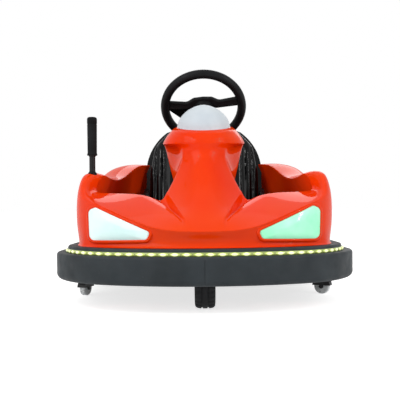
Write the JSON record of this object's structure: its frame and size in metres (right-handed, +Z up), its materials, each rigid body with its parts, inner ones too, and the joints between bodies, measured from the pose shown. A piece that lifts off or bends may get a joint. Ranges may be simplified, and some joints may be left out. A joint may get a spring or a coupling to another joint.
{
  "type": "bumper car",
  "caption": "Kart-style battery bumper car: soft ring bumper with lamps, hollow glass-fibre body, bucket seat, hand lever and steered drive wheel on castors.",
  "frame": {"origin": "On the floor, under the middle of the car's bounding box.", "axes": "+Z up; the car's front faces -Y; +X is the driver's left."},
  "size_m": [1.084, 1.4298, 0.8924],
  "materials": {
    "body_shell": "glossy orange-red gel coat over glass fibre",
    "bumper_rubber": "matt black moulded rubber",
    "led": "clear strip with pale yellow-green lamps",
    "frame_steel": "satin black paint on steel tube and plate",
    "floor_plate": "textured black paint",
    "lens_mint": "translucent lens, lit mint green",
    "lens_white": "translucent lens, lit cold white",
    "lens_red": "translucent red lens",
    "dome_white": "translucent milky dome",
    "seat_vinyl": "glossy black padded vinyl with upright channels",
    "seat_plastic": "glossy black moulded shell",
    "wheel_grip": "satin black moulded grip",
    "bright_steel": "plain turned steel",
    "lever_paint": "satin black paint",
    "grip_foam": "matt black ribbed sleeve",
    "tyre_rubber": "matt black solid rubber",
    "hub_cast": "cast alloy",
    "castor_black": "black painted pressed steel",
    "castor_grey": "pale grey nylon",
    "battery_case": "moulded battery case"
  },
  "bodies": {
    "chassis": {"bumper_ring": "bumper_rubber", "bumper_lip": "bumper_rubber", "led_strip": "led", "frame_band": "frame_steel", "frame_rails": "frame_steel", "floor_pan": "floor_plate", "front_bridge": "frame_steel", "battery_pack": "battery_case", "front_body": "body_shell", "pod_left": "body_shell", "pod_right": "body_shell", "rear_shell": "body_shell", "headlamp_left": "lens_mint", "headlamp_right": "lens_white", "tail_lamp_left": "lens_red", "tail_lamp_right": "lens_red", "dome_lamp": "dome_white", "seat_back_pad": "seat_vinyl", "seat_base_pad": "seat_vinyl", "seat_shell": "seat_plastic", "seat_frame": "frame_steel", "foot_pedal": "frame_steel", "lever_bracket": "frame_steel", "column_tube": "frame_steel", "column_post": "frame_steel", "castor_plate_front_left": "castor_black", "castor_plate_front_right": "castor_black", "castor_plate_rear_left": "castor_black", "castor_plate_rear_right": "castor_black"},
    "steering": {"steering_wheel": "wheel_grip", "steering_shaft": "bright_steel"},
    "fork": {"drive_fork": "frame_steel", "drive_axle": "bright_steel"},
    "drive_wheel": {"drive_tyre": "tyre_rubber", "drive_hub": "hub_cast"},
    "lever": {"hand_lever": "lever_paint", "lever_grip": "grip_foam"},
    "castor_front_left": {"castor_fork_front_left": "castor_black"},
    "castor_wheel_front_left": {"castor_wheel_front_left": "castor_grey"},
    "castor_front_right": {"castor_fork_front_right": "castor_black"},
    "castor_wheel_front_right": {"castor_wheel_front_right": "castor_grey"},
    "castor_rear_left": {"castor_fork_rear_left": "castor_black"},
    "castor_wheel_rear_left": {"castor_wheel_rear_left": "castor_grey"},
    "castor_rear_right": {"castor_fork_rear_right": "castor_black"},
    "castor_wheel_rear_right": {"castor_wheel_rear_right": "castor_grey"}
  },
  "joints": [
    {"name": "fork_steer", "type": "hinge", "parent": "chassis", "child": "fork", "pos_m": [0, -0.515, 0.26], "axis": [0, 0, 1], "continuous": true},
    {"name": "steering_turn", "type": "hinge", "parent": "chassis", "child": "steering", "pos_m": [0, -0.045, 0.757], "axis": [0, 0.7431, 0.6691], "continuous": true},
    {"name": "drive_spin", "type": "hinge", "parent": "fork", "child": "drive_wheel", "pos_m": [0, -0.515, 0.1], "axis": [1, 0, 0], "continuous": true},
    {"name": "lever_swing", "type": "hinge", "parent": "chassis", "child": "lever", "pos_m": [-0.41, -0.353, 0.461], "axis": [1, 0, 0], "range_deg": [-20, 20]},
    {"name": "castor_swivel_front_left", "type": "hinge", "parent": "chassis", "child": "castor_front_left", "pos_m": [0.48, -0.17, 0.08], "axis": [0, 0, 1], "continuous": true},
    {"name": "castor_spin_front_left", "type": "hinge", "parent": "castor_front_left", "child": "castor_wheel_front_left", "pos_m": [0.46369, -0.16239, 0.03], "axis": [-0.4226, -0.9063, 0], "continuous": true},
    {"name": "castor_swivel_front_right", "type": "hinge", "parent": "chassis", "child": "castor_front_right", "pos_m": [-0.48, -0.17, 0.08], "axis": [0, 0, 1], "continuous": true},
    {"name": "castor_spin_front_right", "type": "hinge", "parent": "castor_front_right", "child": "castor_wheel_front_right", "pos_m": [-0.47384, -0.15309, 0.03], "axis": [-0.9397, 0.342, 0], "continuous": true},
    {"name": "castor_swivel_rear_left", "type": "hinge", "parent": "chassis", "child": "castor_rear_left", "pos_m": [0.33, 0.475, 0.08], "axis": [0, 0, 1], "continuous": true},
    {"name": "castor_spin_rear_left", "type": "hinge", "parent": "castor_rear_left", "child": "castor_wheel_rear_left", "pos_m": [0.339, 0.49059, 0.03], "axis": [-0.866, 0.5, 0], "continuous": true},
    {"name": "castor_swivel_rear_right", "type": "hinge", "parent": "chassis", "child": "castor_rear_right", "pos_m": [-0.33, 0.475, 0.08], "axis": [0, 0, 1], "continuous": true},
    {"name": "castor_spin_rear_right", "type": "hinge", "parent": "castor_rear_right", "child": "castor_wheel_rear_right", "pos_m": [-0.33313, 0.49273, 0.03], "axis": [-0.9848, -0.1736, 0], "continuous": true}
  ],
  "couplings": [
    {"joint": "steering_turn", "follows": "fork_steer", "ratio": 1}
  ]
}
